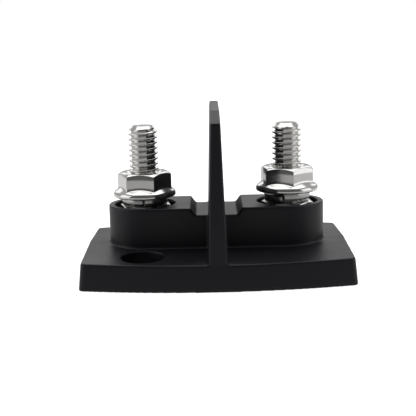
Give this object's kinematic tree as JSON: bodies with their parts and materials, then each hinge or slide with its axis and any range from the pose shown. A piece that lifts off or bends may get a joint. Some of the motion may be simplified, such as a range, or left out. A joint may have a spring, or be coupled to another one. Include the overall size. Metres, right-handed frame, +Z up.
{
  "type": "dual-stud power junction block",
  "caption": "Insulated block with threaded terminal studs on a raised boss, a tall barrier wall between them, and a counterbored screw-down base.",
  "frame": {"origin": "centre of the flat underside of the base", "axes": "+X from the left stud to the right stud, +Y to the rear of the base, +Z up along the studs"},
  "size_m": [0.0702, 0.0528, 0.0438],
  "materials": {
    "housing_plastic": "satin moulded black",
    "plug_plastic": "matte moulded black",
    "stud_steel": "bright rolled stainless thread",
    "nut_steel": "bright drawn stainless",
    "washer_steel": "stamped stainless"
  },
  "bodies": {
    "block": {"base_housing": "housing_plastic", "terminal_stud_left": "stud_steel", "terminal_stud_right": "stud_steel", "flat_washer_left": "washer_steel", "flat_washer_right": "washer_steel", "jam_nut_left": "nut_steel", "jam_nut_right": "nut_steel", "pocket_plug_left": "plug_plastic", "pocket_plug_right": "plug_plastic"},
    "left_washer": {"lock_washer_left": "washer_steel"},
    "left_nut": {"flange_nut_left": "nut_steel"},
    "right_washer": {"lock_washer_right": "washer_steel"},
    "right_nut": {"flange_nut_right": "nut_steel"}
  },
  "joints": [
    {"name": "left_nut_lift", "type": "slide", "parent": "block", "child": "left_washer", "axis": [0, 0, 1], "range_m": [0, 0.0198]},
    {"name": "left_nut_turn", "type": "hinge", "parent": "left_washer", "child": "left_nut", "pos_m": [-0.01905, 0, 0], "axis": [0, 0, 1], "range_deg": [0, 5040]},
    {"name": "right_nut_lift", "type": "slide", "parent": "block", "child": "right_washer", "axis": [0, 0, 1], "range_m": [0, 0.0198]},
    {"name": "right_nut_turn", "type": "hinge", "parent": "right_washer", "child": "right_nut", "pos_m": [0.01905, 0, 0], "axis": [0, 0, 1], "range_deg": [0, 5040]}
  ],
  "couplings": [
    {"joint": "left_nut_lift", "follows": "left_nut_turn", "m_per_rad": 0.00022458},
    {"joint": "right_nut_lift", "follows": "right_nut_turn", "m_per_rad": 0.00022458}
  ]
}
